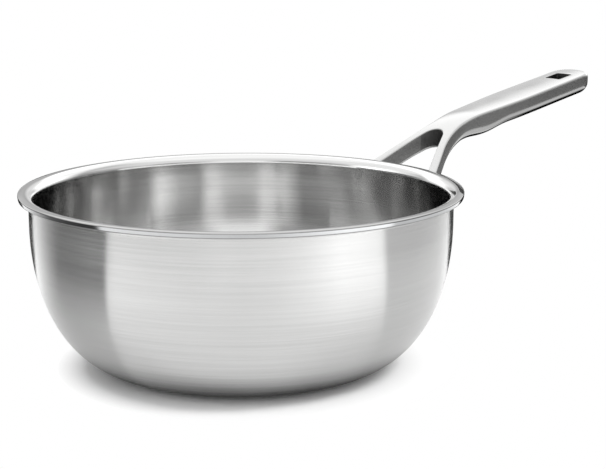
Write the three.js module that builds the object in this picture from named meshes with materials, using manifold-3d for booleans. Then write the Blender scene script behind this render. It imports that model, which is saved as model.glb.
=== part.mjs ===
// Clad steel pan: a curved, straight-topped wall with a flared pouring lip, and a forked cast handle.
// Millimetres, +Z up. The origin is the centre of the base's underside, and the handle points along +X.
// Left and right are as seen by a cook who holds the handle.

import * as THREE from 'three';
import { mergeVertices } from 'three/addons/utils/BufferGeometryUtils.js';
import Module from 'manifold-3d';

const DEGREE = Math.PI / 180;

// Clad body: three sheets, with a thin bond line on each side of the core
const OUTER_SKIN = 0.6;
const CORE = 1.8;
const INNER_SKIN = 0.5;
const BOND = 0.05;

// Outside of the body
const PAN_HEIGHT = 105;
const WALL_DIAMETER = 247.4;
const BASE_DIAMETER = 133;
const CORNER_HEIGHT = 88;
const CORNER_POWER = 2.13;

// Pouring lip: the sheets bend outwards, past level, and end in a polished cut edge
const LIP_BEND = 2.8;
const LIP_TURN = 98 * DEGREE;
const LIP_EDGE = 2.6;
const LIP_EDGE_ROUND = 0.5;

// Handle in side view: distances out from the wall, heights from the rim
const HANDLE_LENGTH = 184.3;
const FOOT_DROP = 10.2;
const LEG_RISE = 34.2 * DEGREE;
const GRIP_RISE = 9.8 * DEGREE;
const LEG_OVERRUN = 30;
const LEG_BEND_OUT = 26.3;
const GRIP_START_OUT = 71.3;
const LEG_DEPTH = 12;
const GRIP_DEPTH = 13.2;
const BELLY_OUT = 76;
const BELLY_SPAN = 44;
const BELLY_DEPTH = 2;
const TIP_UNDER_ROUND = 7;
const TIP_TOP_ROUND = 4;

// Handle in plan
const LEG_WIDTH = 5.7;
const LEG_SPLAY = 29.2 * DEGREE;
const FORK_SPLAY = 27.2 * DEGREE;
const NECK_OUT = 54.3;
const NECK_WIDTH = 25.4;
const SWELL_OUT = 117.3;
const SWELL_WIDTH = 31.4;
const TIP_WIDTH = 30.2;
const TIP_LENGTH = 12;
const TIP_POWER = 2.4;
const FORK_RADIUS = 8.6;

// Handle in section
const CROWN = 0.8;
const GRIP_EDGE = 1.8;
const LEG_EDGE = 0.8;
const GRIP_ROUND = 7;
const LEG_ROUND = 2.2;

// Hanging hole
const HOLE_LENGTH = 13.4;
const HOLE_WIDTH = 12.7;
const HOLE_CORNER = 1;
const HOLE_TO_TIP = 14.6;

// Welds that hold the two legs to the wall
const WELD_LEG = 2.2;
const WELD_GAP = 0.3;

// Facets and limits of the working
const TURN_STEPS = 56;
const CORNER_STEPS = 9;
const LIP_STEPS = 4;
const GRIP_STEPS = 9;
const BEND_STEPS = 10;
const TIP_STEPS = 6;
const ROUND_STEPS = 4;
const CROWN_STEPS = 2;
const CUT_STEPS = 5;
const SEAT_PASSES = 20;
const SAME_POINT = 1e-4;

const wallRadius = WALL_DIAMETER / 2;
const baseRadius = BASE_DIAMETER / 2;
const coreDepth = OUTER_SKIN + BOND;
const innerDepth = coreDepth + CORE + BOND;
const bodyThickness = innerDepth + INNER_SKIN;

const wasm = await Module();
wasm.setup();

// A closed mesh as a solid that can be cut
function toSolid(geometry) {
  const bare = geometry.clone();
  bare.deleteAttribute('normal');
  bare.deleteAttribute('uv');
  const merged = mergeVertices(bare, SAME_POINT);
  const vertProperties = new Float32Array(merged.attributes.position.array);
  const triVerts = new Uint32Array(merged.index.array);
  return new wasm.Manifold(new wasm.Mesh({ numProp: 3, vertProperties, triVerts }));
}

function toGeometry(solid) {
  const mesh = solid.getMesh();
  const geometry = new THREE.BufferGeometry();
  geometry.setAttribute('position', new THREE.BufferAttribute(mesh.vertProperties, 3));
  geometry.setIndex(new THREE.BufferAttribute(mesh.triVerts, 1));
  geometry.computeVertexNormals();
  return geometry;
}

// Skin over rings of points that all have the same count; a closed skin runs on from the last ring to the first
function skin(rings, closed) {
  const count = rings[0].length;
  const positions = rings.flat().flatMap((point) => [point.x, point.y, point.z]);
  const faces = [];
  const spans = closed ? rings.length : rings.length - 1;
  for (let ring = 0; ring < spans; ring += 1) {
    const here = ring * count;
    const there = ((ring + 1) % rings.length) * count;
    for (let side = 0; side < count; side += 1) {
      const next = (side + 1) % count;
      faces.push(here + side, here + next, there + side);
      faces.push(here + next, there + next, there + side);
    }
  }
  if (!closed) {
    const last = (rings.length - 1) * count;
    for (let side = 1; side < count - 1; side += 1) {
      faces.push(0, side + 1, side);
      faces.push(last, last + side, last + side + 1);
    }
  }
  const geometry = new THREE.BufferGeometry();
  geometry.setAttribute('position', new THREE.Float32BufferAttribute(positions, 3));
  geometry.setIndex(faces);
  geometry.computeVertexNormals();
  return geometry;
}

// The body's outer surface from the base's centre to the lip, moved into the sheets by depth
function bodySurface(depth, edge) {
  const points = [new THREE.Vector2(0, depth)];
  const spread = wallRadius - baseRadius;
  for (let step = 0; step <= CORNER_STEPS; step += 1) {
    const angle = (step / CORNER_STEPS) * 90 * DEGREE;
    const across = Math.sin(angle) ** (2 / CORNER_POWER);
    const below = step === CORNER_STEPS ? 0 : Math.cos(angle) ** (2 / CORNER_POWER);
    const inward = new THREE.Vector2(
      -(across ** (CORNER_POWER - 1)) / spread,
      below ** (CORNER_POWER - 1) / CORNER_HEIGHT,
    ).normalize();
    const outside = new THREE.Vector2(baseRadius + spread * across, CORNER_HEIGHT * (1 - below));
    points.push(outside.addScaledVector(inward, depth));
  }
  const bendHeight = PAN_HEIGHT - bodyThickness - LIP_BEND;
  const bendRadius = LIP_BEND + depth;
  for (let step = 0; step <= LIP_STEPS; step += 1) {
    const angle = (step / LIP_STEPS) * LIP_TURN;
    points.push(new THREE.Vector2(
      wallRadius + LIP_BEND - bendRadius * Math.cos(angle),
      bendHeight + bendRadius * Math.sin(angle),
    ));
  }
  const outwards = new THREE.Vector2(Math.sin(LIP_TURN), Math.cos(LIP_TURN));
  points.push(points.at(-1).clone().addScaledVector(outwards, edge));
  return points;
}

function turned(points) {
  return new THREE.LatheGeometry(points, TURN_STEPS).rotateX(90 * DEGREE);
}

// One sheet of the body, between two depths; the cut edge is rounded over the outer faces of the skins
function sheet(from, to) {
  const edgeAt = (depth) => (depth === 0 || depth === bodyThickness ? LIP_EDGE - LIP_EDGE_ROUND : LIP_EDGE);
  const outside = bodySurface(from, edgeAt(from));
  const inside = bodySurface(to, edgeAt(to)).reverse();
  return turned([...outside, ...inside]);
}

// Everything inside the body's outer surface, grown by the gap that a weld bridges
function wallCutter() {
  const points = bodySurface(-WELD_GAP, LIP_EDGE);
  const above = PAN_HEIGHT + HANDLE_LENGTH;
  points.push(new THREE.Vector2(points.at(-1).x, above), new THREE.Vector2(0, above));
  return toSolid(turned(points));
}

// Stations of the handle, as distances from the pan's axis
const legBend = wallRadius + LEG_BEND_OUT;
const gripStart = wallRadius + GRIP_START_OUT;
const neck = wallRadius + NECK_OUT;
const swell = wallRadius + SWELL_OUT;
const tip = wallRadius + HANDLE_LENGTH;
const tipStart = tip - TIP_LENGTH;

const ease = (share) => 0.5 - 0.5 * Math.cos(Math.PI * share);

function topHeight(x) {
  const legTop = (at) => PAN_HEIGHT - FOOT_DROP + (at - wallRadius) * Math.tan(LEG_RISE);
  if (x <= legBend) return legTop(x);
  const length = gripStart - legBend;
  const along = Math.min(x, gripStart) - legBend;
  const easing = Math.tan(LEG_RISE) - Math.tan(GRIP_RISE);
  const bent = legTop(legBend) + along * Math.tan(LEG_RISE) - (easing * along * along) / (2 * length);
  return bent + Math.max(x - gripStart, 0) * Math.tan(GRIP_RISE);
}

function bottomHeight(x) {
  const share = THREE.MathUtils.clamp((x - legBend) / (gripStart - legBend), 0, 1);
  const offset = Math.abs(x - wallRadius - BELLY_OUT) / (BELLY_SPAN / 2);
  const belly = offset < 1 ? BELLY_DEPTH * ease(1 - offset) : 0;
  return topHeight(x) - THREE.MathUtils.lerp(LEG_DEPTH, GRIP_DEPTH, share) - belly;
}

// How far a rounding of the tip has taken the surface away at x
function tipFall(x, round) {
  const past = THREE.MathUtils.clamp((x - tip + round) / round, 0, 1);
  return round * (1 - Math.sqrt(1 - past * past));
}

// Half the handle's width over its outer edges, legs included
function halfWidth(x) {
  const splay = Math.tan(LEG_SPLAY);
  if (x < neck) {
    const curve = neck - legBend;
    const back = neck - x;
    const bent = Math.min(back, curve);
    return NECK_WIDTH / 2 + (splay * bent * bent) / (2 * curve) + splay * Math.max(back - curve, 0);
  }
  if (x < swell) {
    return THREE.MathUtils.lerp(NECK_WIDTH, SWELL_WIDTH, ease((x - neck) / (swell - neck))) / 2;
  }
  if (x < tipStart) {
    return THREE.MathUtils.lerp(SWELL_WIDTH, TIP_WIDTH, ease((x - swell) / (tipStart - swell))) / 2;
  }
  const past = (x - tipStart) / TIP_LENGTH;
  return (TIP_WIDTH / 2) * (1 - past ** TIP_POWER) ** (1 / TIP_POWER);
}

// Half the width of the gap between the legs, before its round end
function gapHalfWidth(x) {
  const atBend = halfWidth(legBend) - LEG_WIDTH / Math.cos(LEG_SPLAY);
  return atBend + (legBend - x) * Math.tan(FORK_SPLAY);
}

// Outline of the handle across its length: crowned top, upright sides, rounded bottom corners
function handleSection(x) {
  const half = halfWidth(x);
  const top = topHeight(x) - tipFall(x, TIP_TOP_ROUND);
  const bottom = bottomHeight(x) + tipFall(x, TIP_UNDER_ROUND);
  const share = THREE.MathUtils.clamp((x - legBend) / (neck - legBend), 0, 1);
  const crown = CROWN * share;
  const edge = Math.min(THREE.MathUtils.lerp(LEG_EDGE, GRIP_EDGE, share), half / 3);
  const round = Math.min(THREE.MathUtils.lerp(LEG_ROUND, GRIP_ROUND, share), half - edge, (top - bottom) / 2);
  const right = [];
  for (let step = 1; step <= CROWN_STEPS; step += 1) {
    const y = (half - edge) * (step / CROWN_STEPS);
    right.push([y, top + crown * (1 - (y / half) ** 2)]);
  }
  right.push([half, top - edge]);
  for (let step = 0; step <= ROUND_STEPS; step += 1) {
    const angle = (step / ROUND_STEPS) * 90 * DEGREE;
    right.push([half - round + round * Math.cos(angle), bottom + round - round * Math.sin(angle)]);
  }
  const left = right.map(([y, z]) => [-y, z]);
  return [[0, top + crown], ...left, ...right.reverse()].map(([y, z]) => new THREE.Vector3(x, y, z));
}

function handleStations() {
  const stations = [wallRadius - LEG_OVERRUN];
  for (let step = 0; step <= BEND_STEPS; step += 1) {
    stations.push(THREE.MathUtils.lerp(legBend, gripStart, step / BEND_STEPS));
  }
  for (let step = 1; step <= GRIP_STEPS; step += 1) {
    stations.push(THREE.MathUtils.lerp(gripStart, tipStart, step / GRIP_STEPS));
  }
  for (let step = 1; step <= TIP_STEPS; step += 1) {
    const angle = (step / (TIP_STEPS + 1)) * 90 * DEGREE;
    stations.push(tipStart + TIP_LENGTH * Math.sin(angle) ** (2 / TIP_POWER));
  }
  return stations;
}

// A plan outline as an upright prism, taller than the handle
function uprightCutter(shape) {
  const depth = 2 * (PAN_HEIGHT + HANDLE_LENGTH);
  return toSolid(new THREE.ExtrudeGeometry(shape, { depth, bevelEnabled: false, curveSegments: CUT_STEPS }));
}

// Gap between the legs: straight inner edges that run into a round end
function forkCutter() {
  const start = wallRadius - 2 * LEG_OVERRUN;
  const apex = legBend + gapHalfWidth(legBend) / Math.tan(FORK_SPLAY);
  const centre = apex - FORK_RADIUS / Math.sin(FORK_SPLAY);
  const swing = 90 * DEGREE - FORK_SPLAY;
  const shape = new THREE.Shape();
  shape.moveTo(start, gapHalfWidth(start));
  shape.lineTo(start, -gapHalfWidth(start));
  shape.absarc(centre, 0, FORK_RADIUS, -swing, swing, false);
  return uprightCutter(shape);
}

function holeCutter() {
  const far = tip - HOLE_TO_TIP;
  const near = far - HOLE_LENGTH;
  const half = HOLE_WIDTH / 2;
  const shape = new THREE.Shape();
  shape.moveTo(near + HOLE_CORNER, -half);
  shape.lineTo(far - HOLE_CORNER, -half);
  shape.quadraticCurveTo(far, -half, far, -half + HOLE_CORNER);
  shape.lineTo(far, half - HOLE_CORNER);
  shape.quadraticCurveTo(far, half, far - HOLE_CORNER, half);
  shape.lineTo(near + HOLE_CORNER, half);
  shape.quadraticCurveTo(near, half, near, half - HOLE_CORNER);
  shape.lineTo(near, -half + HOLE_CORNER);
  shape.quadraticCurveTo(near, -half, near + HOLE_CORNER, -half);
  return uprightCutter(shape);
}

function handleGeometry() {
  const blank = toSolid(skin(handleStations().map(handleSection), false));
  const forked = blank.subtract(forkCutter()).subtract(holeCutter());
  return toGeometry(forked.subtract(wallCutter()));
}

// Radius of the body's outer surface at a height
function outerRadius(z) {
  const below = Math.max(1 - z / CORNER_HEIGHT, 0);
  const spread = wallRadius - baseRadius;
  return baseRadius + spread * (1 - below ** CORNER_POWER) ** (1 / CORNER_POWER);
}

// Fillet weld round one leg, three-cornered in section; side is 1 for the right leg and -1 for the left
function weldGeometry(side) {
  const alongLeg = new THREE.Vector3(1, -side * Math.tan(LEG_SPLAY), Math.tan(LEG_RISE));
  const corners = [[0, 0], [0, 1], [1, 1], [1, 0]];
  const seats = corners.map(([across, down]) => {
    let x = wallRadius;
    let y = 0;
    let z = 0;
    for (let pass = 0; pass < SEAT_PASSES; pass += 1) {
      y = across ? halfWidth(x) : gapHalfWidth(x);
      z = topHeight(x) - LEG_DEPTH * down;
      x = Math.sqrt((outerRadius(z) + WELD_GAP) ** 2 - y * y);
    }
    return new THREE.Vector3(x, side * y, z);
  });
  const middle = seats.reduce((sum, seat) => sum.add(seat), new THREE.Vector3()).divideScalar(seats.length);
  const outwards = new THREE.Vector3(middle.x, middle.y, 0).normalize();
  const sideways = new THREE.Vector3(0, 0, 1).cross(outwards).multiplyScalar(side);
  const rings = seats.map((seat, index) => {
    const [across, down] = corners[index];
    const away = sideways.clone().multiplyScalar(2 * across - 1).add(new THREE.Vector3(0, 0, 1 - 2 * down));
    const toe = seat.clone().addScaledVector(away, WELD_GAP);
    const foot = seat.clone().addScaledVector(away, WELD_GAP + WELD_LEG);
    const crest = toe.clone().addScaledVector(alongLeg, WELD_LEG);
    return side > 0 ? [toe, crest, foot] : [toe, foot, crest];
  });
  return skin(rings, true);
}

function steel(color, roughness) {
  return new THREE.MeshStandardMaterial({ color, roughness, metalness: 1 });
}

function part(name, geometry, material) {
  const mesh = new THREE.Mesh(geometry, material);
  mesh.name = name;
  return mesh;
}

const pan = new THREE.Group();
pan.add(part('outer_skin', sheet(0, OUTER_SKIN), steel(0xc8c8c6, 0.3)));
pan.add(part('aluminium_core', sheet(coreDepth, coreDepth + CORE), steel(0xb4b6b8, 0.45)));
pan.add(part('inner_skin', sheet(innerDepth, bodyThickness), steel(0xbcbcba, 0.35)));
pan.add(part('handle', handleGeometry(), steel(0xb8b8b6, 0.4)));
pan.add(part('left_weld', weldGeometry(-1), steel(0x9c9c9a, 0.5)));
pan.add(part('right_weld', weldGeometry(1), steel(0x9c9c9a, 0.5)));

export default pan;
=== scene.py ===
import math

import bmesh
import bpy
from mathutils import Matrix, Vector
from mathutils.geometry import delaunay_2d_cdt


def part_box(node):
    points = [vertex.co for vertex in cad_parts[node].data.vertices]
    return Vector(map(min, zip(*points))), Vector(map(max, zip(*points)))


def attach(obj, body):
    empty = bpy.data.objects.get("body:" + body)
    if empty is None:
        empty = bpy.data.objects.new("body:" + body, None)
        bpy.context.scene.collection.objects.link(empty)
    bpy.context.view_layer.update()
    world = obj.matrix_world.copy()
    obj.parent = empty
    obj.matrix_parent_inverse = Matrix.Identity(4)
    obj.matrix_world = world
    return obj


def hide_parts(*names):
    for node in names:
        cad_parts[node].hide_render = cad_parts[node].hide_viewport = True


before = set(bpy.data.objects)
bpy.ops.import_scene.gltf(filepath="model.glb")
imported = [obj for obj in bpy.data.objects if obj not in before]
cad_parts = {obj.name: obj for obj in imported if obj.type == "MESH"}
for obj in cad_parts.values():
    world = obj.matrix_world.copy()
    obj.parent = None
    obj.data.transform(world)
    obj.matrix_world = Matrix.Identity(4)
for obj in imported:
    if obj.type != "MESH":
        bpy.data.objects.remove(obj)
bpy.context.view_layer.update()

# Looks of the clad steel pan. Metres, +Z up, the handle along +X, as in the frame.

# Clad body: three sheets, with a thin bond line on each side of the core
OUTER_SKIN = 0.0006
CORE = 0.0018
INNER_SKIN = 0.0005
BOND = 0.00005
BODY_THICKNESS = OUTER_SKIN + CORE + INNER_SKIN + 2 * BOND

# Outside of the body
PAN_HEIGHT = 0.105
WALL_RADIUS = 0.1237
BASE_RADIUS = 0.0665
CORNER_HEIGHT = 0.088
CORNER_POWER = 2.13

# Pouring lip
LIP_BEND = 0.0028
LIP_TURN = math.radians(98)
LIP_EDGE = 0.0026
LIP_EDGE_ROUND = 0.0005

# Handle in side view
FOOT_DROP = 0.0102
LEG_RISE = math.tan(math.radians(34.2))
GRIP_RISE = math.tan(math.radians(9.8))
LEG_BEND = WALL_RADIUS + 0.0263
GRIP_START = WALL_RADIUS + 0.0713
LEG_DEPTH = 0.012
GRIP_DEPTH = 0.0132
BELLY_MIDDLE = WALL_RADIUS + 0.076
BELLY_HALF_SPAN = 0.022
BELLY_DEPTH = 0.002

# Handle in plan
LEG_WIDTH = 0.0057
LEG_SPLAY = math.radians(29.2)
FORK_SPLAY = math.radians(27.2)
FORK_RADIUS = 0.0086
NECK = WALL_RADIUS + 0.0543
NECK_HALF = 0.0127
SWELL = WALL_RADIUS + 0.1173
SWELL_HALF = 0.0157
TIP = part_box("handle")[1].x
TIP_HALF = 0.0151
TIP_LENGTH = 0.012
TIP_START = TIP - TIP_LENGTH
TIP_POWER = 2.4
HOLE_LENGTH = 0.0134
HOLE_HALF = 0.00635
HOLE_CORNER = 0.001
HOLE_END = WALL_RADIUS + 0.1697
WELD_GAP = 0.0003

# Handle in section
CROWN = 0.0008
GRIP_EDGE = 0.0018
LEG_EDGE = 0.0008
TIP_EDGE = 0.004
HOLE_EDGE = 0.0004
GRIP_ROUND = 0.007
LEG_ROUND = 0.0022
FOOT_FADE = 0.004
FOOT_SQUARE = 0.1

# Fineness of the meshes, and the angles in degrees past which an edge is sharp
TURN_STEPS = 192
CORNER_STEPS = 44
LIP_STEPS = 18
EDGE_STEPS = 8
PLAN_STEP = 0.0012
ROUND_STEPS = 7
FORK_STEPS = 14
FOOT_STEPS = 5
TIP_STEPS = 18
HOLE_STEPS = 6
FOOT_PASSES = 20
CAP_STEP = 0.0018
CAP_MARGIN = 0.6 * CAP_STEP
SAME_POINT = 1e-7
BODY_CREASE = 50
HANDLE_CREASE = 35

# Camera, at the photograph's viewing angle
CAMERA_PLACE = Vector((-0.6171, -0.7354, 0.27987))
CAMERA_TARGET = Vector((0.02743, -0.02301, 0.07655))
CAMERA_LENS = 98.93
SENSOR_WIDTH = 36
VIEW_TURN = math.atan2(CAMERA_PLACE.y, CAMERA_PLACE.x)


def lerp(low, high, share):
    return low + (high - low) * share


def clamp(value):
    return min(max(value, 0), 1)


def ease(share):
    return 0.5 - 0.5 * math.cos(math.pi * share)


def new_piece(name, mesh, node, material):
    """A finished mesh as a piece of the pan that stands for one CAD node."""
    mesh.materials.append(material)
    piece = bpy.data.objects.new(name, mesh)
    bpy.context.scene.collection.objects.link(piece)
    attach(piece, "root")
    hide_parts(node)
    return piece


def finished_mesh(name, points, faces, crease):
    """A smooth-shaded mesh with its faces pointing out, sharp where the surface turns by more than crease."""
    build = bmesh.new()
    corners = [build.verts.new(point) for point in points]
    for face in faces:
        build.faces.new([corners[index] for index in face])
    bmesh.ops.recalc_face_normals(build, faces=build.faces)
    mesh = bpy.data.meshes.new(name)
    build.to_mesh(mesh)
    build.free()
    mesh.shade_smooth()
    mesh.set_sharp_from_angle(angle=math.radians(crease))
    return mesh


# Body

def body_surface(depth):
    """Radius and height of the outside, moved into the sheets by depth, up to the end of the lip's bend."""
    points = [(0, depth)]
    spread = WALL_RADIUS - BASE_RADIUS
    for step in range(CORNER_STEPS + 1):
        angle = math.radians(90) * step / CORNER_STEPS
        across = math.sin(angle) ** (2 / CORNER_POWER)
        below = max(math.cos(angle), 0) ** (2 / CORNER_POWER)
        slope = (-across ** (CORNER_POWER - 1) / spread, below ** (CORNER_POWER - 1) / CORNER_HEIGHT)
        inward = Vector(slope).normalized()
        radius = BASE_RADIUS + spread * across + depth * inward.x
        points.append((radius, CORNER_HEIGHT * (1 - below) + depth * inward.y))
    bend = LIP_BEND + depth
    bend_radius = WALL_RADIUS + LIP_BEND
    bend_height = PAN_HEIGHT - BODY_THICKNESS - LIP_BEND
    for step in range(LIP_STEPS + 1):
        angle = LIP_TURN * step / LIP_STEPS
        points.append((bend_radius - bend * math.cos(angle), bend_height + bend * math.sin(angle)))
    return points


def lip_end(depth):
    """The cut edge at a depth: the edge is polished round over the whole thickness."""
    radius, height = body_surface(depth)[-1]
    offset = 2 * depth / BODY_THICKNESS - 1
    edge = LIP_EDGE - LIP_EDGE_ROUND * (1 - math.sqrt(max(1 - offset ** 4, 0)))
    return (radius + edge * math.sin(LIP_TURN), height + edge * math.cos(LIP_TURN))


def sheet_mesh(name, start, end):
    """One sheet of the body between two depths, turned about the pan's axis."""
    profile = body_surface(start)
    profile += [lip_end(lerp(start, end, step / EDGE_STEPS)) for step in range(EDGE_STEPS + 1)]
    profile += reversed(body_surface(end))
    points = []
    rows = []
    for radius, height in profile:
        if radius == 0:
            rows.append([len(points)] * TURN_STEPS)
            points.append((0, 0, height))
            continue
        rows.append(range(len(points), len(points) + TURN_STEPS))
        for step in range(TURN_STEPS):
            angle = 2 * math.pi * step / TURN_STEPS
            points.append((radius * math.cos(angle), radius * math.sin(angle), height))
    faces = []
    for lower, upper in zip(rows, rows[1:]):
        for step in range(TURN_STEPS):
            following = (step + 1) % TURN_STEPS
            face = [lower[step], lower[following], upper[following], upper[step]]
            faces.append(list(dict.fromkeys(face)))
    return finished_mesh(name, points, faces, BODY_CREASE)


# Handle

def top_height(x):
    """Height of the handle's top edges: straight legs, a bend, and a straight grip."""
    leg_top = PAN_HEIGHT - FOOT_DROP + (min(x, LEG_BEND) - WALL_RADIUS) * LEG_RISE
    along = min(max(x - LEG_BEND, 0), GRIP_START - LEG_BEND)
    bent = along * LEG_RISE - (LEG_RISE - GRIP_RISE) * along ** 2 / (2 * (GRIP_START - LEG_BEND))
    return leg_top + bent + max(x - GRIP_START, 0) * GRIP_RISE


def crowned_top(x, y):
    """Height of the top, which is crowned across the grip."""
    share = min(abs(y) / half_width(min(x, TIP_START)), 1)
    return top_height(x) + CROWN * grip_share(x) * (1 - share ** 2)


def bottom_height(x):
    """Height of the underside, with the belly under the front of the grip."""
    share = clamp((x - LEG_BEND) / (GRIP_START - LEG_BEND))
    belly = BELLY_DEPTH * ease(1 - min(abs(x - BELLY_MIDDLE) / BELLY_HALF_SPAN, 1))
    return top_height(x) - lerp(LEG_DEPTH, GRIP_DEPTH, share) - belly


def half_width(x):
    """Half the handle's width over its outer edges, legs included, up to the start of the round tip."""
    if x < NECK:
        curve = NECK - LEG_BEND
        bent = min(NECK - x, curve)
        return NECK_HALF + math.tan(LEG_SPLAY) * (bent ** 2 / (2 * curve) + max(NECK - x - curve, 0))
    if x < SWELL:
        return lerp(NECK_HALF, SWELL_HALF, ease((x - NECK) / (SWELL - NECK)))
    return lerp(SWELL_HALF, TIP_HALF, ease((x - SWELL) / (TIP_START - SWELL)))


def gap_half_width(x):
    """Half the width of the gap between the legs, before its round end."""
    at_bend = half_width(LEG_BEND) - LEG_WIDTH / math.cos(LEG_SPLAY)
    return at_bend + (LEG_BEND - x) * math.tan(FORK_SPLAY)


def fork_end():
    """Middle of the round end of the gap between the legs."""
    apex = LEG_BEND + gap_half_width(LEG_BEND) / math.tan(FORK_SPLAY)
    return apex - FORK_RADIUS / math.sin(FORK_SPLAY)


def grip_share(x):
    """0 along the legs, 1 along the grip."""
    return clamp((x - LEG_BEND) / (NECK - LEG_BEND))


def under_round(x):
    """Radius of the bottom edge along the handle's outer sides."""
    return lerp(LEG_ROUND, GRIP_ROUND, grip_share(x))


def top_edge(x):
    """Radius of the top edge along the handle's outer sides and tip."""
    along = lerp(LEG_EDGE, GRIP_EDGE, grip_share(x))
    return lerp(along, TIP_EDGE, clamp((x - TIP_START) / TIP_LENGTH))


def foot_fade(point):
    """Edges are rounded in full along the handle, and run out square under the welds."""
    return lerp(FOOT_SQUARE, 1, clamp((point.length - WALL_RADIUS - WELD_GAP) / FOOT_FADE))


def foot_corner(edge):
    """Where a leg's edge, given by its distance from the middle at each x, meets the wall."""
    x = WALL_RADIUS
    for _ in range(FOOT_PASSES):
        y = edge(x)
        x = math.sqrt((WALL_RADIUS + WELD_GAP) ** 2 - y ** 2)
    return Vector((x, y))


def steps_between(start, end):
    """Points from start up to, but not including, end."""
    start = Vector(start)
    end = Vector(end)
    count = max(round((end - start).length / PLAN_STEP), 1)
    return [start.lerp(end, step / count) for step in range(count)]


def around(centre, radius, angle):
    return Vector((centre[0] + radius * math.cos(angle), centre[1] + radius * math.sin(angle)))


def arc(centre, radius, start, end, count):
    """Points round an arc, up to but not including its end."""
    return [around(centre, radius, lerp(start, end, step / count)) for step in range(count)]


def handle_plan():
    """Outline of the handle from above, anticlockwise, and its bottom and top edge's radius at each point."""
    fork = (fork_end(), 0)
    swing = math.pi / 2 - FORK_SPLAY
    inner = foot_corner(gap_half_width)
    outer = foot_corner(half_width)
    foot_angles = [math.atan2(corner.y, corner.x) for corner in (inner, outer)]
    half = arc(fork, FORK_RADIUS, 0, swing, FORK_STEPS)
    half += steps_between(around(fork, FORK_RADIUS, swing), inner)
    half += arc((0, 0), inner.length, *foot_angles, FOOT_STEPS)
    rounds = [LEG_ROUND] * len(half)
    edges = [LEG_EDGE] * len(half)
    count = round((TIP_START - outer.x) / PLAN_STEP)
    for step in range(count):
        x = lerp(outer.x, TIP_START, step / count)
        half.append(Vector((x, half_width(x))))
    for step in range(TIP_STEPS):
        angle = math.radians(90) * step / TIP_STEPS
        x = TIP_START + TIP_LENGTH * math.sin(angle) ** (2 / TIP_POWER)
        half.append(Vector((x, TIP_HALF * math.cos(angle) ** (2 / TIP_POWER))))
    half.append(Vector((TIP, 0)))
    rounds += [under_round(point.x) for point in half[len(rounds):]]
    edges += [top_edge(point.x) for point in half[len(edges):]]
    mirrored = [Vector((point.x, -point.y)) for point in half]
    whole = [side + other[-2:0:-1] for side, other in ((half, mirrored), (rounds, rounds), (edges, edges))]
    return [list(reversed(values)) for values in whole]


def hole_plan():
    """Outline of the hanging hole, anticlockwise."""
    far = HOLE_END - HOLE_CORNER
    near = HOLE_END - HOLE_LENGTH + HOLE_CORNER
    side = HOLE_HALF - HOLE_CORNER
    outline = []
    for index, centre in enumerate([(far, side), (near, side), (near, -side), (far, -side)]):
        start = index * math.pi / 2
        bend = arc(centre, HOLE_CORNER, start, start + math.pi / 2, HOLE_STEPS)
        if outline:
            outline += steps_between(outline.pop(), bend[0])
        outline += bend
    outline += steps_between(outline.pop(), outline[0])
    return outline


def moved_in(outline, distances):
    """An anticlockwise outline moved inwards, each point by its own distance."""
    count = len(outline)
    moved = []
    for index, point in enumerate(outline):
        before = (point - outline[index - 1]).normalized()
        after = (outline[(index + 1) % count] - point).normalized()
        normals = [Vector((-way.y, way.x)) for way in (before, after)]
        mitre = (normals[0] + normals[1]) / (1 + normals[0].dot(normals[1]))
        moved.append(point + mitre * distances[index])
    return moved


def inside(point, outline):
    """Whether a plan point lies inside an outline."""
    found = False
    for index, end in enumerate(outline):
        start = outline[index - 1]
        if (start.y > point.y) != (end.y > point.y):
            crossing = start.x + (point.y - start.y) / (end.y - start.y) * (end.x - start.x)
            found = found != (point.x < crossing)
    return found


def nearest(point, outline):
    return min((point - corner).length for corner in outline)


def closed_edges(count, first):
    """Pairs of neighbours round a closed outline of count points that are numbered from first."""
    return [(first + index, first + (index + 1) % count) for index in range(count)]


class HandleSkin:
    """Collects the handle's points and faces, ring by ring."""

    def __init__(self):
        self.points = []
        self.faces = []

    def ring(self, plan, heights):
        start = len(self.points)
        self.points += [(point.x, point.y, height) for point, height in zip(plan, heights)]
        return list(range(start, len(self.points)))

    def wall(self, outline, rounds, edges):
        """A wall with a rounded bottom and top edge. A negative radius leans out, as a hole's edge does."""
        quarter = [math.radians(90) * step / ROUND_STEPS for step in range(ROUND_STEPS + 1)]
        rings = []
        for angle in reversed(quarter):
            plan = moved_in(outline, [size * (1 - math.cos(angle)) for size in rounds])
            lifts = [abs(size) * (1 - math.sin(angle)) for size in rounds]
            heights = [bottom_height(point.x) + lift for point, lift in zip(plan, lifts)]
            rings.append((plan, self.ring(plan, heights)))
        for angle in quarter:
            plan = moved_in(outline, [size * (1 - math.cos(angle)) for size in edges])
            drops = [abs(size) * (1 - math.sin(angle)) for size in edges]
            heights = [crowned_top(point.x, point.y) - drop for point, drop in zip(plan, drops)]
            rings.append((plan, self.ring(plan, heights)))
        for (_, lower), (_, upper) in zip(rings, rings[1:]):
            self.band(lower, upper)
        return rings

    def band(self, lower, upper):
        for index in range(len(lower)):
            self.faces.append((lower[index - 1], lower[index], upper[index], upper[index - 1]))

    def cap(self, plan, ring, hole, hole_ring, height_at):
        """Fills between the outer ring and the hole's ring, over a grid of points on the surface."""
        border = plan + hole
        grid = [point for point in cap_grid(plan)
                if inside(point, plan) and not inside(point, hole) and nearest(point, border) > CAP_MARGIN]
        indices = ring + hole_ring + self.ring(grid, [height_at(point.x, point.y) for point in grid])
        edges = closed_edges(len(plan), 0) + closed_edges(len(hole), len(plan))
        found = delaunay_2d_cdt(border + grid, edges, [], 0, SAME_POINT)
        flat_points, triangles, origins = found[0], found[2], found[3]
        for triangle in triangles:
            middle = sum((flat_points[corner] for corner in triangle), Vector((0, 0))) / 3
            if inside(middle, plan) and not inside(middle, hole):
                self.faces.append([indices[origins[corner][0]] for corner in triangle])


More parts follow.
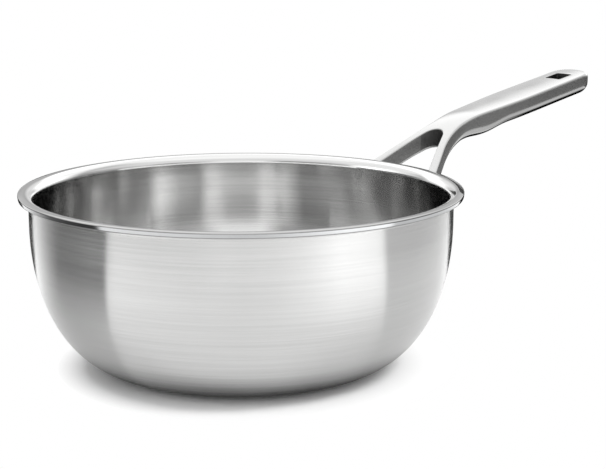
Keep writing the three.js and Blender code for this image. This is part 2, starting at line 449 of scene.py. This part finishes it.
def cap_grid(plan):
    """A square grid of points over an outline that is symmetric about the X axis."""
    low = min(point.x for point in plan)
    columns = int((max(point.x for point in plan) - low) / CAP_STEP)
    rows = int(max(point.y for point in plan) / CAP_STEP)
    return [Vector((low + column * CAP_STEP, row * CAP_STEP))
            for column in range(columns + 1) for row in range(-rows, rows + 1)]


def handle_mesh():
    skin = HandleSkin()
    plan, rounds, edges = handle_plan()
    fades = [foot_fade(point) for point in plan]
    rounds = [size * fade for size, fade in zip(rounds, fades)]
    edges = [size * fade for size, fade in zip(edges, fades)]
    hole = hole_plan()
    hole_edges = [-HOLE_EDGE] * len(hole)
    outer_rings = skin.wall(plan, rounds, edges)
    hole_rings = skin.wall(hole, hole_edges, hole_edges)
    skin.cap(*outer_rings[0], *hole_rings[0], lambda x, y: bottom_height(x))
    skin.cap(*outer_rings[-1], *hole_rings[-1], crowned_top)
    return finished_mesh("handle_skin", skin.points, skin.faces, HANDLE_CREASE)


# Shader nodes

def grey(level):
    return (level, level, level, 1)


class NodeTree:
    """The nodes of one material or of the world, with a method for each kind that is used here."""

    def __init__(self, tree):
        self.nodes = tree.nodes
        self.links = tree.links

    def add(self, kind):
        return self.nodes.new("ShaderNode" + kind)

    def feed(self, socket, value):
        """Links a socket to another node's output, or sets it to a number or a colour."""
        if isinstance(value, bpy.types.NodeSocket):
            self.links.new(value, socket)
        else:
            socket.default_value = value

    def place(self):
        return self.add("TexCoord").outputs["Object"]

    def split(self, vector):
        node = self.add("SeparateXYZ")
        self.feed(node.inputs[0], vector)
        return node.outputs

    def math(self, operation, *values):
        node = self.add("Math")
        node.operation = operation
        for socket, value in zip(node.inputs, values):
            self.feed(socket, value)
        return node.outputs[0]

    def distance_out(self, first, second):
        squares = [self.math("MULTIPLY", side, side) for side in (first, second)]
        return self.math("SQRT", self.math("ADD", *squares))

    def noise(self, vector, scale, detail):
        node = self.add("TexNoise")
        self.feed(node.inputs["Vector"], vector)
        self.feed(node.inputs["Scale"], scale)
        self.feed(node.inputs["Detail"], detail)
        return node.outputs["Fac"]

    def ranged(self, value, start, end):
        """A value within the span start, moved to the span end."""
        node = self.add("MapRange")
        self.feed(node.inputs["Value"], value)
        self.feed(node.inputs["From Min"], start[0])
        self.feed(node.inputs["From Max"], start[1])
        self.feed(node.inputs["To Min"], end[0])
        self.feed(node.inputs["To Max"], end[1])
        return node.outputs["Result"]

    def share(self, value, start):
        """0 at one end of a span, 1 at the other."""
        return self.ranged(value, start, (0, 1))

    def mix(self, share, first, second, blend="MIX"):
        node = self.add("Mix")
        node.data_type = "RGBA"
        node.blend_type = blend
        self.feed(node.inputs["Factor"], share)
        self.feed(node.inputs["A"], first)
        self.feed(node.inputs["B"], second)
        return node.outputs["Result"]

    def tint(self, colour, tone):
        """A colour, made lighter or darker by a tone."""
        node = self.add("CombineColor")
        for channel in node.inputs:
            self.feed(channel, tone)
        return self.mix(1, (*colour, 1), node.outputs[0], "MULTIPLY")

    def bump(self, height, strength, distance):
        node = self.add("Bump")
        self.feed(node.inputs["Height"], height)
        self.feed(node.inputs["Strength"], strength)
        self.feed(node.inputs["Distance"], distance)
        return node.outputs[0]

    def surface(self, kind, colour):
        """A plain shader of one colour."""
        node = self.add(kind)
        self.feed(node.inputs["Color"], colour)
        return node.outputs[0]

    def mix_surfaces(self, share, first, second):
        node = self.add("MixShader")
        for socket, value in zip(node.inputs, (share, first, second)):
            self.feed(socket, value)
        return node.outputs[0]

    def studio_axes(self, vector):
        """A direction or place as its parts towards the camera, to the right and up."""
        turn = self.add("VectorRotate")
        turn.rotation_type = "Z_AXIS"
        self.feed(turn.inputs["Vector"], vector)
        self.feed(turn.inputs["Angle"], -VIEW_TURN)
        return self.split(turn.outputs[0])

    def ring_of_light(self, angle, levels):
        """Brightness round the horizon, from pairs of an angle in degrees and a level."""
        ramp = self.add("ValToRGB")
        elements = ramp.color_ramp.elements
        while len(elements) < len(levels):
            elements.new(0.5)
        for element, (degrees, level) in zip(elements, levels):
            element.position = degrees / 360 + 0.5
            element.color = grey(level)
        self.feed(ramp.inputs["Fac"], self.share(angle, (-math.pi, math.pi)))
        return ramp.outputs["Color"]


# Materials

WHITE = (1, 1, 1)
NOISE_SPAN = (0.3, 0.7)

# Brushed lines, by their scale round the pan and across the lines, and cloudy marks, by scale and detail
FINE_LINES = (9, 1100)
FINE_DETAIL = 4
BROAD_LINES = (4, 350)
BROAD_DETAIL = 2
BROAD_SHARE = 0.3
LINE_SPAN = (0.4, 0.9)
LINE_TONES = (0.9, 1.06)
LINE_HEIGHT = 0.00001
LINE_TURN = 0.25
LINE_GLOSS = (-0.08, 0.08)
WIPING_MARKS = (22, 3)
WIPING_GLOSS = (0.96, 1.05)
HANDLING_MARKS = (60, 4)

# Polished lip: where it starts, its roughness beside the wall's, and its tone
LIP_SPAN = (WALL_RADIUS + 0.0005, WALL_RADIUS + 0.002)
LIP_POLISH = 0.4
LIP_TONE = 0.52
LIP_EDGE_TINT = 0.75

# Cut edge of the core
SATIN_DETAIL = 3
SATIN_TONES = (0.95, 1.03)
SATIN_GLOSS = (-0.03, 0.04)
SATIN_RELIEF = 0.2
GRAIN_HEIGHT = 0.00003

# Welds, with straw-coloured heat tint
WELD_RIPPLE = (700, 2)
WELD_PATCH = (160, 3)
WELD_TONES = (0.85, 1.05)
WELD_GLOSS = (-0.08, 0.08)
WELD_HEAT = (0.42, 0.36, 0.27)
WELD_HEAT_SPAN = (0.45, 0.7)
WELD_HEAT_MOST = 0.6
WELD_RELIEF = 0.6
RIPPLE_HEIGHT = 0.0004

# Handle: how far a face tilts up or down before it is polished, and the grain of the blasted sides, whose
# darker colour is partly painted shade
TOP_TILTS = (0.3, 0.75)
LOWER_TILTS = (-0.06, -0.2)
CAST_GRAIN = (1500, 3)
CAST_TONES = (0.8, 1.2)
CAST_RELIEF = 0.15
POLISHED_TONES = (0.96, 1.03)
HANDLE_GLOSS = (-0.02, 0.03)
# Painted shade on the walls of the hanging hole and at the fork's end
HOLE_MIDDLE = HOLE_END - HOLE_LENGTH / 2
HOLE_PAINTED_SHADE = 0.25
FORK_SHADE = 0.014
# Handle's underside, with painted shade: how far its faces tilt down as it darkens, and its level at the
# belly and further out
UNDERSIDE_TILTS = (-0.36, -0.58)
UNDERSIDE_SPAN = (BELLY_MIDDLE, BELLY_MIDDLE + 0.045)
UNDERSIDE_SHADE_LEVELS = (0.9, 0.03)


def new_metal(name):
    material = bpy.data.materials.new(name)
    material.use_nodes = True
    shader = material.node_tree.nodes["Principled BSDF"].inputs
    shader["Metallic"].default_value = 1
    return material, NodeTree(material.node_tree), shader


def ring_coordinates(tree, along, across):
    """Coordinates that change slowly round the pan's axis and fast along the body's profile."""
    x, y, z = tree.split(tree.place())
    profile = tree.math("ADD", tree.distance_out(x, y), z)
    joined = tree.add("CombineXYZ")
    for socket, value, scale in zip(joined.inputs, (x, y, profile), (along, along, across)):
        tree.feed(socket, tree.math("MULTIPLY", value, scale))
    return joined.outputs[0]


def on_lip(tree):
    """0 on the wall, 1 on the polished lip."""
    x, y, _ = tree.split(tree.place())
    return tree.share(tree.distance_out(x, y), LIP_SPAN)


def brushed_steel(name, colour, roughness, relief):
    """Steel brushed round the pan's axis: fine rings, broader bands and a few cloudy wiping marks."""
    material, tree, shader = new_metal(name)
    fine = tree.noise(ring_coordinates(tree, *FINE_LINES), 1, FINE_DETAIL)
    broad = tree.noise(ring_coordinates(tree, *BROAD_LINES), 1, BROAD_DETAIL)
    lines = tree.math("ADD", fine, tree.math("MULTIPLY", broad, BROAD_SHARE))
    cloud = tree.noise(tree.place(), *WIPING_MARKS)
    lip = on_lip(tree)
    lip_tone = tree.ranged(lip, (0, 1), (1, LIP_TONE))
    tone = tree.math("MULTIPLY", tree.ranged(lines, LINE_SPAN, LINE_TONES), lip_tone)
    tree.feed(shader["Base Color"], tree.tint(colour, tone))
    tree.feed(shader["Specular Tint"], tree.tint(WHITE, tree.ranged(lip, (0, 1), (1, LIP_EDGE_TINT))))
    wiped = tree.ranged(cloud, NOISE_SPAN, [roughness * share for share in WIPING_GLOSS])
    streaked = tree.ranged(lines, LINE_SPAN, [roughness * share for share in LINE_GLOSS])
    polish = tree.ranged(lip, (0, 1), (1, LIP_POLISH))
    tree.feed(shader["Roughness"], tree.math("MULTIPLY", tree.math("ADD", wiped, streaked), polish))
    tree.feed(shader["Normal"], tree.bump(lines, relief, LINE_HEIGHT))
    tangent = tree.add("Tangent")
    tangent.direction_type = "RADIAL"
    tangent.axis = "Z"
    tree.feed(shader["Tangent"], tangent.outputs[0])
    shader["Anisotropic"].default_value = 1
    shader["Anisotropic Rotation"].default_value = LINE_TURN
    return material


def satin_metal(name, colour, roughness, grain):
    """Metal with a fine ground grain and faint handling marks."""
    material, tree, shader = new_metal(name)
    fine = tree.noise(tree.place(), grain, SATIN_DETAIL)
    cloud = tree.noise(tree.place(), *HANDLING_MARKS)
    tree.feed(shader["Base Color"], tree.tint(colour, tree.ranged(cloud, NOISE_SPAN, SATIN_TONES)))
    tree.feed(shader["Roughness"], tree.ranged(cloud, NOISE_SPAN, [roughness + more for more in SATIN_GLOSS]))
    tree.feed(shader["Normal"], tree.bump(fine, SATIN_RELIEF, GRAIN_HEIGHT))
    return material


def welded_steel(name, colour, roughness):
    """Steel laid down as a weld: small ripples, with a straw and grey heat tint in patches."""
    material, tree, shader = new_metal(name)
    ripple = tree.noise(tree.place(), *WELD_RIPPLE)
    patch = tree.noise(tree.place(), *WELD_PATCH)
    tone = tree.ranged(ripple, NOISE_SPAN, WELD_TONES)
    heat = tree.ranged(patch, WELD_HEAT_SPAN, (0, WELD_HEAT_MOST))
    tree.feed(shader["Base Color"], tree.mix(heat, tree.tint(colour, tone), tree.tint(WELD_HEAT, tone)))
    tree.feed(shader["Roughness"], tree.ranged(ripple, NOISE_SPAN, [roughness + more for more in WELD_GLOSS]))
    tree.feed(shader["Normal"], tree.bump(ripple, WELD_RELIEF, RIPPLE_HEIGHT))
    return material


def painted_recess_shade(tree):
    """Painted shade: 1 on the handle, less on the walls of the hanging hole and where the fork closes."""
    along, side, _ = tree.split(tree.place())
    across = tree.math("ABSOLUTE", side)
    off = tree.math("ABSOLUTE", tree.math("SUBTRACT", along, HOLE_MIDDLE))
    near = tree.math("LESS_THAN", off, HOLE_LENGTH / 2 + HOLE_EDGE)
    within = tree.math("LESS_THAN", across, HOLE_HALF + HOLE_EDGE)
    in_hole = tree.math("MULTIPLY", near, within)
    end = fork_end() + FORK_RADIUS
    closing = tree.share(along, (end - FORK_SHADE, end))
    before = tree.math("LESS_THAN", along, end + HOLE_EDGE)
    between = tree.math("LESS_THAN", across, FORK_RADIUS + HOLE_EDGE)
    in_fork = tree.math("MULTIPLY", closing, tree.math("MULTIPLY", before, between))
    painted_shades = [tree.ranged(share, (0, 1), (1, HOLE_PAINTED_SHADE)) for share in (in_hole, in_fork)]
    return tree.math("MULTIPLY", *painted_shades)


def cast_steel(name, top_colour, top_roughness, shaded_side_colour, side_roughness):
    """Cast handle: a polished top and lower edge and blasted sides. The sides' darker colour is partly
    painted shade, and painted shade darkens the underside, the hanging hole and the fork's end.
    """
    material, tree, shader = new_metal(name)
    tilt = tree.split(tree.add("NewGeometry").outputs["Normal"])[2]
    along = tree.split(tree.place())[0]
    shiny = tree.math("MAXIMUM", tree.share(tilt, TOP_TILTS), tree.share(tilt, LOWER_TILTS))
    grain = tree.noise(tree.place(), *CAST_GRAIN)
    cloud = tree.noise(tree.place(), *HANDLING_MARKS)
    # Random grain, times painted shade in the hanging hole and at the fork's end
    shade = tree.math("MULTIPLY", tree.ranged(grain, NOISE_SPAN, CAST_TONES), painted_recess_shade(tree))
    # The sides' colour is half the top's: partly the blasted finish, partly painted shade on faces that do
    # not face up
    side = tree.tint(shaded_side_colour, shade)
    # Painted shade on the underside, in the colour and the specular tint, darkest on faces turned down past
    # the belly
    underside_shade_limit = tree.ranged(along, UNDERSIDE_SPAN, UNDERSIDE_SHADE_LEVELS)
    under = tree.math("MAXIMUM", tree.ranged(tilt, UNDERSIDE_TILTS, (1, 0)), underside_shade_limit)
    clean = tree.ranged(cloud, NOISE_SPAN, POLISHED_TONES)
    top = tree.tint(top_colour, tree.math("MULTIPLY", clean, under))
    tree.feed(shader["Base Color"], tree.mix(shiny, side, top))
    tree.feed(shader["Specular Tint"], tree.tint(WHITE, under))
    handled = tree.ranged(cloud, NOISE_SPAN, HANDLE_GLOSS)
    finish = tree.ranged(shiny, (0, 1), (side_roughness, top_roughness))
    tree.feed(shader["Roughness"], tree.math("ADD", finish, handled))
    tree.feed(shader["Normal"], tree.bump(grain, CAST_RELIEF, GRAIN_HEIGHT))
    return material


# Studio

# Floor, and the distances over which it turns pure white to the camera, from a point right of the middle
FLOOR_HALF = 6
FLOOR_DROP = 0.0001
FLOOR_WHITE = 0.98
WHITE_SHIFT = 0.008
WHITE_SPAN = (0.1, 0.118)

# Floor as reflections see it, about a point before the pan, close to the pan and far from it:
# (degrees to the right of the camera, how white it is, or how much it glows)
FLOOR_CENTRE = 0.047
CLOSE_TO_FAR = (0.14, 0.3)
FLOOR_CLOSE = [(-180, 0.95), (-125, 0.95), (-95, 0.92), (-72, 0.92), (-70.5, 0.97), (35, 0.97), (60, 0.92),
               (75.5, 0.88), (77, 0.84), (180, 0.84)]
FLOOR_FAR = [(-180, 0.95), (-135, 0.95), (-120, 0.6), (-105, 0.1), (-72, 0.06), (-70.5, 0.97), (75.5, 0.97),
             (77, 0.6), (120, 0.7), (135, 0.95), (180, 0.95)]
GLOW_CLOSE = [(-180, 0.1), (-110, 0.18), (-72, 0.18), (-70.5, 0.35), (20, 0.25), (50, 0.1), (75.5, 0.05),
              (180, 0.05)]
GLOW_FAR = [(-180, 0.3), (-140, 0.5), (-128, 0.4), (-108, 0.1), (-90, 0), (-72, 0), (-70.5, 0.6), (-40, 0.4),
            (0, 0.05), (15, 0.15), (32, 0.5), (50, 1), (75.5, 0.95), (77, 0.35), (110, 0.35), (135, 0.4),
            (180, 0.3)]
# Painted contact shadow under the pan, and the table's edges, with a notch behind that widens
CONTACT_SHADOW_TONE = 0.1
CONTACT_SHADOW_SPAN = (0.086, 0.11)
TABLE_LEFT = 0.56
TABLE_RIGHT = 0.85
TABLE_SLANT = 0.757
TABLE_BACK = 0.2
BACK_HALF = 0.125
BACK_SPREAD = 0.6

# Studio as reflections see it: brightness at angles to the right of the camera, in degrees
NEAR_HORIZON = [(-180, 0.9), (-166, 0.9), (-157, 1.7), (-150, 1.7), (-135, 1.2), (-120, 0.4), (-108, 0.1),
                (-72, 0.05), (-70.5, 2.2), (-20, 2), (20, 1.8), (32, 1.9), (50, 2.2), (75.5, 1.8), (77, 0.3),
                (110, 0.3), (125, 0.8), (140, 1.6), (157, 1.6), (166, 0.9), (180, 0.9)]
HIGHER_UP = [(-180, 1.1), (-172, 1.2), (-161, 1.6), (-147, 3), (-141, 3), (-130, 0.9), (-107, 1.7),
             (-86, 3.5), (-80, 3.5), (-66, 0.9), (-50, 0.5), (-25, 0.5), (-12, 1.6), (12, 1.6), (25, 0.9),
             (45, 0.5), (60, 1), (80, 0.75), (108, 0.6), (134, 2.6), (155, 3), (165, 1.5), (173, 1.1),
             (180, 1.1)]
UPPER = [(-180, 2.5), (-150, 2.5), (-138, 1.6), (-80, 1.5), (-60, 1.4), (60, 1.4), (112, 1), (125, 1.9),
         (155, 1.9), (168, 2.5), (180, 2.5)]
OVERHEAD = 1.8
BELOW = [(-180, 0), (-125, 0), (-110, 0.4), (-60, 0.4), (-40, 0), (40, 0), (60, 0.2), (120, 0.2), (140, 0),
         (180, 0)]
# Elevations in degrees over which each of these turns into the next
HIGHER_RISE = (7, 12)
UPPER_RISE = (21, 29)
OVERHEAD_RISE = (48, 60)

# Soft light on the floor, weaker from the left, and the key lamp's softbox to the right
AMBIENT = [(-180, 0.9), (-130, 0.5), (-50, 0.5), (0, 1), (50, 1.1), (130, 1.1), (180, 0.9)]
KEY_TURN = 60
KEY_RISE = 50
KEY_DISTANCE = 2.5
KEY_SIZE = 0.7
KEY_POWER = 25


def add_to_scene(name, data):
    added = bpy.data.objects.new(name, data)
    bpy.context.scene.collection.objects.link(added)
    return added


def make_camera():
    data = bpy.data.cameras.new("camera")
    data.lens = CAMERA_LENS
    data.sensor_width = SENSOR_WIDTH
    camera = add_to_scene("camera", data)
    camera.location = CAMERA_PLACE
    camera.rotation_euler = (CAMERA_TARGET - CAMERA_PLACE).to_track_quat("-Z", "Y").to_euler()
    bpy.context.scene.camera = camera


def off_table(tree, front, right):
    """1 past the table's left and right edges and in the notch behind, 0 on the table."""
    slanted = tree.math("SUBTRACT", right, tree.math("MULTIPLY", front, TABLE_SLANT))
    spread = tree.math("ADD", tree.math("ABSOLUTE", right), tree.math("MULTIPLY", front, BACK_SPREAD))
    notch = tree.math("LESS_THAN", spread, BACK_HALF)
    behind = tree.math("MULTIPLY", tree.math("LESS_THAN", front, -TABLE_BACK), notch)
    left_of = tree.math("LESS_THAN", right, -TABLE_LEFT)
    right_of = tree.math("GREATER_THAN", slanted, TABLE_RIGHT)
    return tree.math("MAXIMUM", behind, tree.math("MAXIMUM", left_of, right_of))


def mirrored_floor(tree, glossy, front, right):
    """The floor as reflections see it: a white table that is shaded on its left side, with a painted shadow
    under the pan, and glows in places.
    """
    angle = tree.math("ARCTAN2", right, tree.math("SUBTRACT", front, FLOOR_CENTRE))
    reach = tree.distance_out(front, right)
    away = tree.share(reach, CLOSE_TO_FAR)
    # Painted shadow: in reflections the floor turns dark close round the pan's base
    patch = tree.ranged(reach, CONTACT_SHADOW_SPAN, (1 - CONTACT_SHADOW_TONE, 0))
    shown = []
    for close, far in ((FLOOR_CLOSE, FLOOR_FAR), (GLOW_CLOSE, GLOW_FAR)):
        level = tree.mix(away, tree.ring_of_light(angle, close), tree.ring_of_light(angle, far))
        shown.append(tree.mix(patch, level, grey(0)))
    glow = tree.add("Emission")
    tree.feed(glow.inputs["Color"], shown[1])
    tree.feed(glow.inputs["Strength"], glossy)
    whole = tree.add("AddShader")
    tree.feed(whole.inputs[0], tree.surface("BsdfDiffuse", shown[0]))
    tree.feed(whole.inputs[1], glow.outputs[0])
    gone = tree.math("MULTIPLY", off_table(tree, front, right), glossy)
    return tree.mix_surfaces(gone, whole.outputs[0], tree.surface("BsdfTransparent", grey(1)))


def make_floor():
    """White floor, pure white to the camera away from the pan."""
    corners = [(x * FLOOR_HALF, y * FLOOR_HALF, -FLOOR_DROP) for x, y in ((-1, -1), (1, -1), (1, 1), (-1, 1))]
    mesh = bpy.data.meshes.new("floor")
    mesh.from_pydata(corners, [], [(0, 1, 2, 3)])
    floor = add_to_scene("floor", mesh)
    material = bpy.data.materials.new("floor_white")
    material.use_nodes = True
    tree = NodeTree(material.node_tree)
    tree.nodes.clear()
    paths = tree.add("LightPath").outputs
    front, right, _ = tree.studio_axes(tree.place())
    away = tree.share(tree.distance_out(front, tree.math("SUBTRACT", right, WHITE_SHIFT)), WHITE_SPAN)
    lit = tree.surface("BsdfDiffuse", grey(FLOOR_WHITE))
    seen = tree.mix_surfaces(away, lit, tree.surface("Emission", grey(1)))
    mirrored = mirrored_floor(tree, paths["Is Glossy Ray"], front, right)
    shown = tree.mix_surfaces(paths["Is Camera Ray"], mirrored, seen)
    tree.feed(tree.add("OutputMaterial").inputs["Surface"], shown)
    mesh.materials.append(material)


def make_world():
    """White walls behind, dark sides, soft lights higher up and little light from below the table."""
    world = bpy.data.worlds.new("studio")
    bpy.context.scene.world = world
    world.use_nodes = True
    tree = NodeTree(world.node_tree)
    tree.nodes.clear()
    paths = tree.add("LightPath").outputs
    front, right, up = tree.studio_axes(tree.add("TexCoord").outputs["Generated"])
    angle = tree.math("ARCTAN2", right, front)
    level = tree.ring_of_light(angle, NEAR_HORIZON)
    rings = [(HIGHER_RISE, tree.ring_of_light(angle, HIGHER_UP)),
             (UPPER_RISE, tree.ring_of_light(angle, UPPER)),
             (OVERHEAD_RISE, grey(OVERHEAD))]
    for rise, ring in rings:
        span = [math.sin(math.radians(degrees)) for degrees in rise]
        level = tree.mix(tree.share(up, span), level, ring)
    level = tree.mix(tree.math("LESS_THAN", up, 0), level, tree.ring_of_light(angle, BELOW))
    studio = tree.surface("Background", level)
    soft = tree.surface("Background", tree.ring_of_light(angle, AMBIENT))
    lit = tree.mix_surfaces(paths["Is Diffuse Ray"], studio, soft)
    shown = tree.mix_surfaces(paths["Is Camera Ray"], lit, tree.surface("Background", grey(1)))
    tree.feed(tree.add("OutputWorld").inputs["Surface"], shown)


def make_key():
    """A square softbox that faces the pan, at an angle to the right of the camera."""
    data = bpy.data.lights.new("key", "AREA")
    data.shape = "SQUARE"
    data.size = KEY_SIZE
    data.energy = KEY_POWER
    lamp = add_to_scene("key", data)
    turn = VIEW_TURN + math.radians(KEY_TURN)
    rise = math.radians(KEY_RISE)
    way = Vector((math.cos(turn) * math.cos(rise), math.sin(turn) * math.cos(rise), math.sin(rise)))
    lamp.location = way * KEY_DISTANCE
    lamp.rotation_euler = way.to_track_quat("Z", "Y").to_euler()
    lamp.visible_camera = False
    lamp.visible_glossy = False


make_camera()

outer_steel = brushed_steel("outer_steel", colour=(0.5, 0.5, 0.497), roughness=0.24, relief=0.08)
inner_steel = brushed_steel("inner_steel", colour=(0.52, 0.52, 0.517), roughness=0.1, relief=0.004)
core_metal = satin_metal("core_aluminium", colour=(0.42, 0.425, 0.43), roughness=0.1, grain=4000)
# The darker side colour is partly painted shade.
handle_steel = cast_steel("handle_steel", top_colour=(0.33, 0.33, 0.328), top_roughness=0.13,
                          shaded_side_colour=(0.165, 0.165, 0.163), side_roughness=0.5)
weld_steel = welded_steel("weld_steel", colour=(0.5, 0.49, 0.48), roughness=0.35)

core_depth = OUTER_SKIN + BOND
inner_depth = core_depth + CORE + BOND
outer_sheet = sheet_mesh("outer_sheet", 0, OUTER_SKIN)
core_sheet = sheet_mesh("core_sheet", core_depth, core_depth + CORE)
inner_sheet = sheet_mesh("inner_sheet", inner_depth, BODY_THICKNESS)
new_piece("outer_sheet", outer_sheet, "outer_skin", outer_steel)
new_piece("core_sheet", core_sheet, "aluminium_core", core_metal)
new_piece("inner_sheet", inner_sheet, "inner_skin", inner_steel)
new_piece("forked_handle", handle_mesh(), "handle", handle_steel)
for node in ("left_weld", "right_weld"):
    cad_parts[node].data.materials.clear()
    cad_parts[node].data.materials.append(weld_steel)

make_floor()
make_world()
make_key()

bpy.context.scene.view_settings.view_transform = "Standard"
